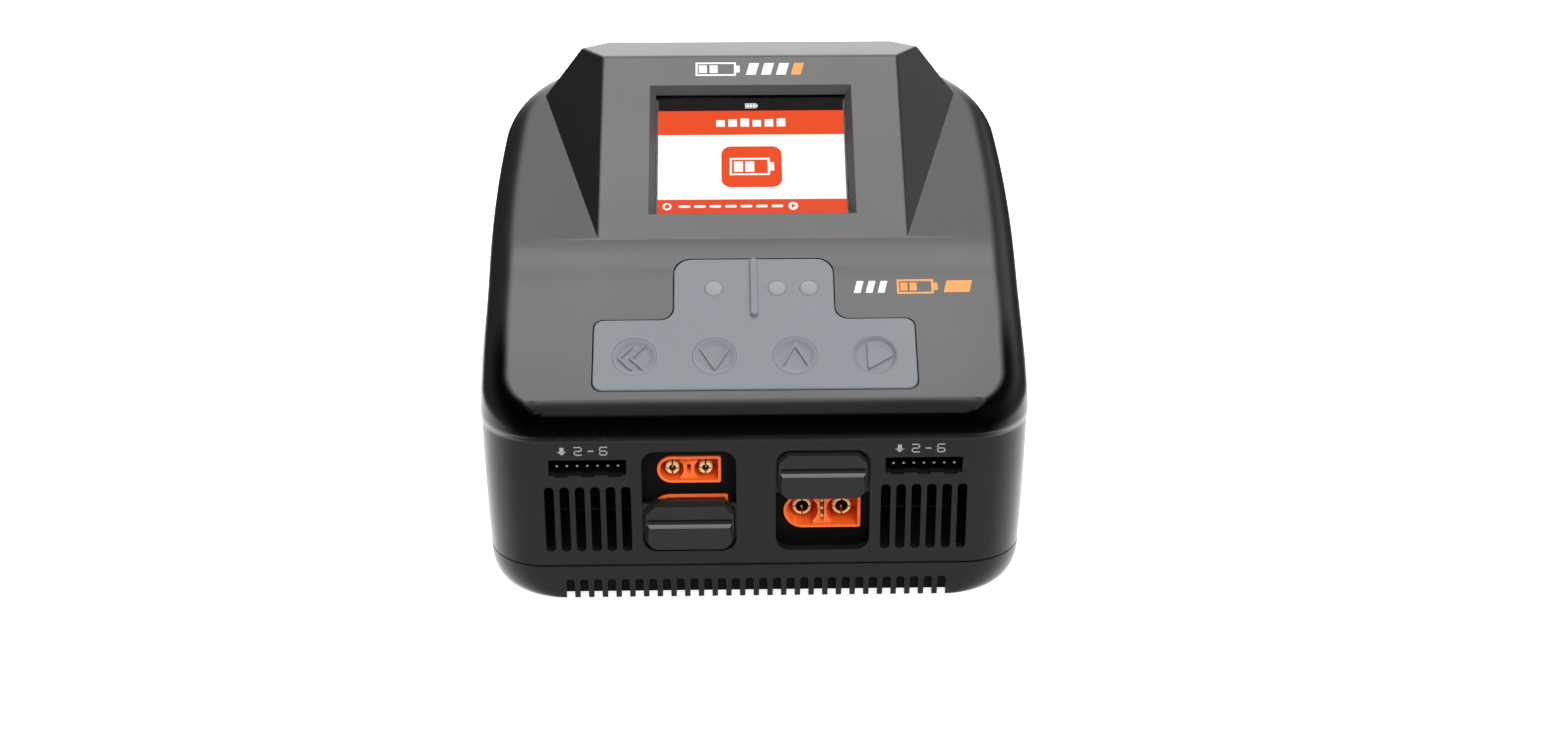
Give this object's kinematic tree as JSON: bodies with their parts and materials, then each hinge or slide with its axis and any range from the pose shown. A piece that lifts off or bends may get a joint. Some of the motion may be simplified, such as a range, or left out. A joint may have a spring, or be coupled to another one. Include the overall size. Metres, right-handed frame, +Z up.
{
  "type": "balance battery charger",
  "caption": "Bench charger with sloping keypad and display console, sliding connector shutters, balance sockets, vents and a rear fan and mains inlet.",
  "frame": {"origin": "middle of the footprint, on the surface the rubber feet stand on", "axes": "+Z up, +Y from the front face to the rear wall, +X to the right seen from the front"},
  "size_m": [0.141, 0.121, 0.1116],
  "materials": {
    "case_plastic": "satin moulded",
    "tray_plastic": "satin moulded",
    "window_glass": "clear gloss",
    "display_glass": "lit colour display",
    "board_green": "solder mask",
    "board_black": "dark solder mask",
    "keypad_silicone": "soft silicone",
    "switch_metal": "small switches",
    "cable_film": "flat cable",
    "wire_sleeve": "wire sleeve",
    "shutter_plastic": "satin moulded",
    "bay_plastic": "matt moulded",
    "connector_orange": "moulded nylon",
    "gold_contact": "gold plated",
    "socket_black": "moulded nylon",
    "heatsink_metal": "extruded",
    "screw_steel": "blackened",
    "ferrite": "sintered ferrite",
    "winding_copper": "enamelled wire under tape",
    "capacitor_sleeve": "shrink sleeve",
    "buzzer_plastic": "moulded",
    "fan_plastic": "moulded",
    "inlet_plastic": "moulded",
    "pin_metal": "plated",
    "foot_rubber": "rubber"
  },
  "bodies": {
    "case": {"balance_header_left": "socket_black", "balance_header_right": "socket_black", "balance_pins_left": "gold_contact", "balance_pins_right": "gold_contact", "board_screws": "screw_steel", "bulk_capacitors": "capacitor_sleeve", "buzzer": "buzzer_plastic", "case_screws": "screw_steel", "display_board": "board_green", "display_panel": "display_glass", "display_window": "window_glass", "fan_frame": "fan_plastic", "fan_screws": "screw_steel", "front_board": "board_black", "heatsink_left": "heatsink_metal", "heatsink_right": "heatsink_metal", "inlet_pins": "pin_metal", "key_board": "board_green", "key_switches": "switch_metal", "keypad_mat": "keypad_silicone", "large_bullets_left": "gold_contact", "large_bullets_right": "gold_contact", "large_connector_left": "connector_orange", "large_connector_right": "connector_orange", "lower_case": "tray_plastic", "main_board": "board_green", "mains_inlet": "inlet_plastic", "mains_wires": "wire_sleeve", "output_capacitors": "capacitor_sleeve", "port_bay_left": "bay_plastic", "port_bay_right": "bay_plastic", "ribbon_cable": "cable_film", "rubber_feet": "foot_rubber", "signal_pins_left": "gold_contact", "signal_pins_right": "gold_contact", "small_bullets_left": "gold_contact", "small_bullets_right": "gold_contact", "small_connector_left": "connector_orange", "small_connector_right": "connector_orange", "toroids": "ferrite", "transformer_core": "ferrite", "transformer_winding": "winding_copper", "upper_case": "case_plastic", "usb_socket": "pin_metal"},
    "key_back": {"key_back": "keypad_silicone"},
    "key_down": {"key_down": "keypad_silicone"},
    "key_up": {"key_up": "keypad_silicone"},
    "key_enter": {"key_enter": "keypad_silicone"},
    "key_channel_one": {"key_channel_one": "keypad_silicone"},
    "key_channel_two": {"key_channel_two": "keypad_silicone"},
    "port_shutter_left": {"port_shutter_left": "shutter_plastic"},
    "port_shutter_right": {"port_shutter_right": "shutter_plastic"},
    "fan_rotor": {"fan_rotor": "fan_plastic"}
  },
  "joints": [
    {"name": "key_back_press", "type": "slide", "parent": "case", "child": "key_back", "axis": [0, 0.5075, -0.8616], "range_m": [0, 0.0008], "stiffness_N_per_m": 600, "springref_m": -0.0008},
    {"name": "key_down_press", "type": "slide", "parent": "case", "child": "key_down", "axis": [0, 0.5075, -0.8616], "range_m": [0, 0.0008], "stiffness_N_per_m": 600, "springref_m": -0.0008},
    {"name": "key_up_press", "type": "slide", "parent": "case", "child": "key_up", "axis": [0, 0.5075, -0.8616], "range_m": [0, 0.0008], "stiffness_N_per_m": 600, "springref_m": -0.0008},
    {"name": "key_enter_press", "type": "slide", "parent": "case", "child": "key_enter", "axis": [0, 0.5075, -0.8616], "range_m": [0, 0.0008], "stiffness_N_per_m": 600, "springref_m": -0.0008},
    {"name": "key_channel_one_press", "type": "slide", "parent": "case", "child": "key_channel_one", "axis": [0, 0.5075, -0.8616], "range_m": [0, 0.0008], "stiffness_N_per_m": 600, "springref_m": -0.0008},
    {"name": "key_channel_two_press", "type": "slide", "parent": "case", "child": "key_channel_two", "axis": [0, 0.5075, -0.8616], "range_m": [0, 0.0008], "stiffness_N_per_m": 600, "springref_m": -0.0008},
    {"name": "left_shutter_slide", "type": "slide", "parent": "case", "child": "port_shutter_left", "axis": [0, 0, 1], "range_m": [0, 0.014]},
    {"name": "right_shutter_slide", "type": "slide", "parent": "case", "child": "port_shutter_right", "axis": [0, 0, -1], "range_m": [0, 0.014]},
    {"name": "fan_spin", "type": "hinge", "parent": "case", "child": "fan_rotor", "pos_m": [0.016, 0.049, 0.044], "axis": [0, 1, 0], "continuous": true}
  ]
}
